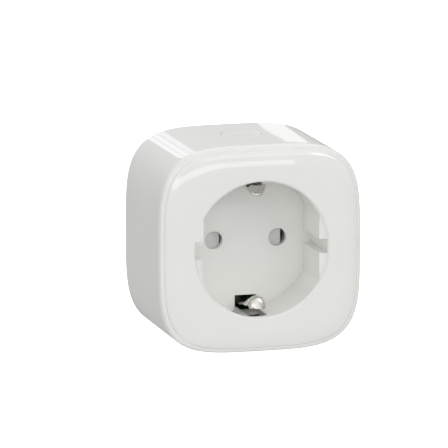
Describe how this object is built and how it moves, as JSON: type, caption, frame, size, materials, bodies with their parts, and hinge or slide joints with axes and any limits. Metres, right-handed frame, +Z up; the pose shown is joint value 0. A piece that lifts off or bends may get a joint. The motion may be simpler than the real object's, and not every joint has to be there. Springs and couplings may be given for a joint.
{
  "type": "plug in power meter",
  "caption": "Plug-in socket adaptor that meters and switches a load: rounded square body, recessed earthed socket in front, earthed plug behind, push button on top.",
  "frame": {"origin": "centre of the plug boss's end face, midway between the two plug pins", "axes": "+Y towards the wall the meter plugs into, along the plug pins; the socket faces -Y; +Z up, towards the push button; +X to the right seen from the socket side"},
  "size_m": [0.06, 0.077, 0.06],
  "materials": {
    "white_gloss_plastic": "polished moulded white thermoplastic",
    "white_matt_plastic": "fine matt moulded white thermoplastic",
    "carrier_plastic": "grey-white moulded thermoset",
    "shutter_plastic": "light grey low-friction plastic",
    "spring_steel": "drawn spring wire",
    "screw_steel": "zinc plated",
    "nickel_plate": "nickel plated brass, slightly worn",
    "brass": "stamped sheet brass",
    "circuit_board": "green solder mask on glass epoxy",
    "relay_plastic": "orange relay cover",
    "film_box_plastic": "yellow-brown box capacitor",
    "varistor_coat": "blue epoxy coat",
    "resistor_coat": "green lacquer",
    "black_plastic": "black moulded plastic",
    "aluminium_can": "drawn can",
    "shunt_alloy": "bent resistance alloy strip",
    "ferrite": "pressed ferrite",
    "coil_tape": "yellow polyester tape",
    "lamp_lens": "clear tinted lens"
  },
  "bodies": {
    "housing": {"front_cover": "white_gloss_plastic", "body_shell": "white_gloss_plastic", "plug_boss": "white_matt_plastic", "contact_carrier": "carrier_plastic", "shutter_spring": "spring_steel", "case_screw_1": "screw_steel", "case_screw_2": "screw_steel", "case_screw_3": "screw_steel", "case_screw_4": "screw_steel", "plug_pin_neutral": "nickel_plate", "plug_pin_line": "nickel_plate", "rear_earth_top": "nickel_plate", "rear_earth_bottom": "nickel_plate", "neutral_bar": "brass", "line_bar": "brass", "neutral_contact": "brass", "line_contact": "brass", "earth_strap": "brass", "main_board": "circuit_board", "switch_board": "circuit_board", "radio_board": "circuit_board", "relay_case": "relay_plastic", "film_capacitor": "film_box_plastic", "varistor": "varistor_coat", "fuse_resistor": "resistor_coat", "metering_chip": "black_plastic", "regulator_chip": "black_plastic", "tact_switch": "black_plastic", "filter_capacitor": "aluminium_can", "radio_shield": "aluminium_can", "shunt_bridge": "shunt_alloy", "transformer_core": "ferrite", "transformer_coil": "coil_tape", "status_lamp": "lamp_lens"},
    "button": {"button_cap": "white_gloss_plastic"},
    "plunger": {"switch_plunger": "black_plastic"},
    "shutter": {"shutter_slider": "shutter_plastic"},
    "top_clip": {"earth_clip_top": "nickel_plate"},
    "bottom_clip": {"earth_clip_bottom": "nickel_plate"}
  },
  "joints": [
    {"name": "button_press", "type": "slide", "parent": "housing", "child": "button", "axis": [0, 0, -1], "range_m": [0, 0.0004], "stiffness_N_per_m": 3000},
    {"name": "plunger_press", "type": "slide", "parent": "housing", "child": "plunger", "axis": [0, 0, -1], "range_m": [0, 0.0004], "stiffness_N_per_m": 5},
    {"name": "shutter_slide", "type": "slide", "parent": "housing", "child": "shutter", "axis": [-1, 0, 0], "range_m": [0, 0.0049], "stiffness_N_per_m": 150, "deforming": ["shutter_spring"]},
    {"name": "top_clip_flex", "type": "hinge", "parent": "housing", "child": "top_clip", "pos_m": [0, -0.0275, 0.0196], "axis": [-1, 0, 0], "range_deg": [0, 5], "stiffness_Nm_per_rad": 1.8},
    {"name": "bottom_clip_flex", "type": "hinge", "parent": "housing", "child": "bottom_clip", "pos_m": [0, -0.0275, -0.0196], "axis": [1, 0, 0], "range_deg": [0, 5], "stiffness_Nm_per_rad": 1.8}
  ],
  "couplings": [
    {"joint": "plunger_press", "follows": "button_press", "ratio": 1}
  ]
}
